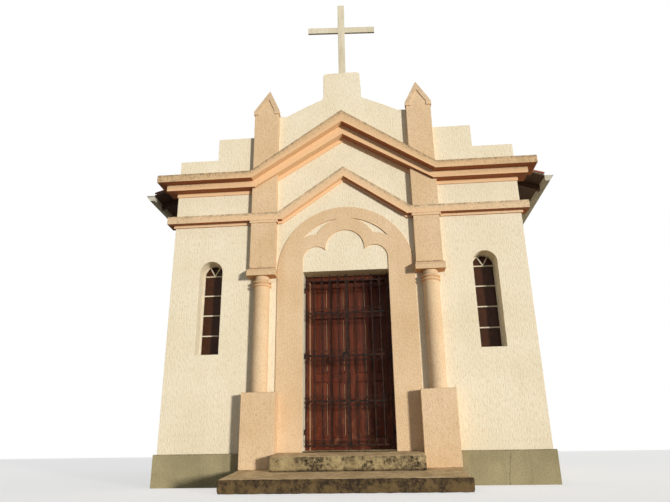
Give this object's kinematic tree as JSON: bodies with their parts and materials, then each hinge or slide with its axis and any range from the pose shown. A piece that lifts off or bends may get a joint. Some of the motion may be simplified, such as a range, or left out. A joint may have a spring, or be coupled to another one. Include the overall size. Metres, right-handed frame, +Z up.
{
  "type": "small chapel",
  "caption": "Small rendered chapel: stepped and gabled front with raking cornices, lobed arch surround, panelled doors behind iron gates, cross on top and a tiled gable roof.",
  "frame": {"origin": "on the ground, below the outer face of the front wall, in line with the middle of the doorway", "axes": "+X across the front to the right as seen from outside, +Y from the front into the building, +Z up"},
  "size_m": [6.14, 7.8, 7.628],
  "materials": {
    "plinth_paint": "matte paint over render",
    "floor": "cement floor",
    "concrete": "weathered concrete",
    "wall_render": "combed roughcast render, cream",
    "trim_render": "painted render, peach",
    "cross_paint": "white paint",
    "roof_timber": "dark stained boards",
    "clay_tile": "fired clay",
    "gutter_paint": "white paint",
    "window_paint": "white paint",
    "window_glass": "dark maroon glass",
    "door_wood": "varnished hardwood",
    "ironwork": "black paint on iron"
  },
  "bodies": {
    "building": {"plinth_front": "plinth_paint", "plinth_back": "plinth_paint", "plinth_left": "plinth_paint", "plinth_right": "plinth_paint", "floor_slab": "floor", "door_sill": "concrete", "lower_step": "concrete", "upper_step": "concrete", "front_wall_left": "wall_render", "front_wall_right": "wall_render", "front_wall_over_door": "wall_render", "front_gable": "wall_render", "left_wall": "wall_render", "right_wall": "wall_render", "back_wall": "wall_render", "cross_block": "wall_render", "cross": "cross_paint", "string_course_left": "trim_render", "string_course_right": "trim_render", "upper_cornice_left": "trim_render", "upper_cornice_right": "trim_render", "pilaster_left": "trim_render", "pilaster_right": "trim_render", "capital_left": "trim_render", "capital_right": "trim_render", "column_left": "trim_render", "column_right": "trim_render", "pedestal_left": "trim_render", "pedestal_right": "trim_render", "pinnacle_left": "trim_render", "pinnacle_right": "trim_render", "arch_surround": "trim_render", "ridge_beam": "roof_timber", "rafters": "roof_timber", "roof_boards": "roof_timber", "roof_tiles_left": "clay_tile", "roof_tiles_right": "clay_tile", "ridge_tiles": "clay_tile", "gutters": "gutter_paint", "front_window_frames": "window_paint", "side_window_frames": "window_paint", "window_glass": "window_glass", "door_frame": "door_wood", "door_hinges": "ironwork", "gate_hooks": "ironwork"},
    "wood_door_left": {"wood_door_left": "door_wood"},
    "wood_door_right": {"wood_door_right": "door_wood"},
    "gate_left": {"gate_left": "ironwork"},
    "gate_right": {"gate_right": "ironwork"}
  },
  "joints": [
    {"name": "wood_door_left_hinge", "type": "hinge", "parent": "building", "child": "wood_door_left", "pos_m": [-0.547, 0.458, 1.5], "axis": [0, 0, 1], "range_deg": [0, 95]},
    {"name": "gate_left_hinge", "type": "hinge", "parent": "building", "child": "gate_left", "pos_m": [-0.586, 0.11, 1.5], "axis": [0, 0, -1], "range_deg": [0, 90]},
    {"name": "wood_door_right_hinge", "type": "hinge", "parent": "building", "child": "wood_door_right", "pos_m": [0.547, 0.458, 1.5], "axis": [0, 0, -1], "range_deg": [0, 95]},
    {"name": "gate_right_hinge", "type": "hinge", "parent": "building", "child": "gate_right", "pos_m": [0.586, 0.11, 1.5], "axis": [0, 0, 1], "range_deg": [0, 90]}
  ]
}
